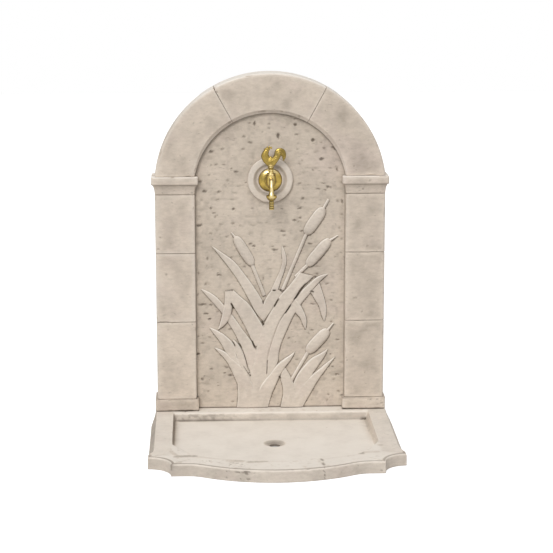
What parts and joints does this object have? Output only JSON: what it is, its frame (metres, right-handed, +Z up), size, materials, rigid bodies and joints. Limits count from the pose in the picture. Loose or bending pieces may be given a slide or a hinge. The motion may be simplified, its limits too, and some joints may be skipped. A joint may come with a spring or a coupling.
{
  "type": "garden fountain",
  "caption": "Cast-stone wall fountain: an arched back with a bulrush relief, a shallow serpentine basin and a brass rooster-handled tap that opens with a quarter turn.",
  "frame": {"origin": "middle of the underside of the whole object", "axes": "+Z up, front faces -Y, back against the wall on +Y, +X to the right seen from the front"},
  "size_m": [0.632, 0.591, 0.9237],
  "materials": {
    "cast_stone": "matte",
    "basin_stone": "matte",
    "brass": "polished",
    "ceramic": "satin",
    "steel": "satin",
    "rubber": "matte"
  },
  "bodies": {
    "fountain": {"back_panel": "cast_stone", "basin": "basin_stone", "bonnet": "brass", "bulrush_clump": "cast_stone", "bulrush_sprig": "cast_stone", "crown_voussoir": "cast_stone", "fixed_disc": "ceramic", "hose_tail": "brass", "hose_washer": "rubber", "left_impost": "cast_stone", "left_lower_block": "cast_stone", "left_middle_block": "cast_stone", "left_plinth": "cast_stone", "left_upper_block": "cast_stone", "left_voussoir": "cast_stone", "lock_nut": "brass", "lock_washer": "brass", "right_impost": "cast_stone", "right_lower_block": "cast_stone", "right_middle_block": "cast_stone", "right_plinth": "cast_stone", "right_upper_block": "cast_stone", "right_voussoir": "cast_stone", "rosette": "brass", "tap_body": "brass", "tap_boss": "cast_stone", "union_nut": "brass"},
    "handle": {"rooster_handle": "brass", "spindle": "brass", "moving_disc": "ceramic", "stem_o_ring": "rubber", "handle_screw": "steel"}
  },
  "joints": [
    {"name": "handle_turn", "type": "hinge", "parent": "fountain", "child": "handle", "pos_m": [0, 0.1895, 0.686], "axis": [0, 0, 1], "range_deg": [0, 90]}
  ]
}
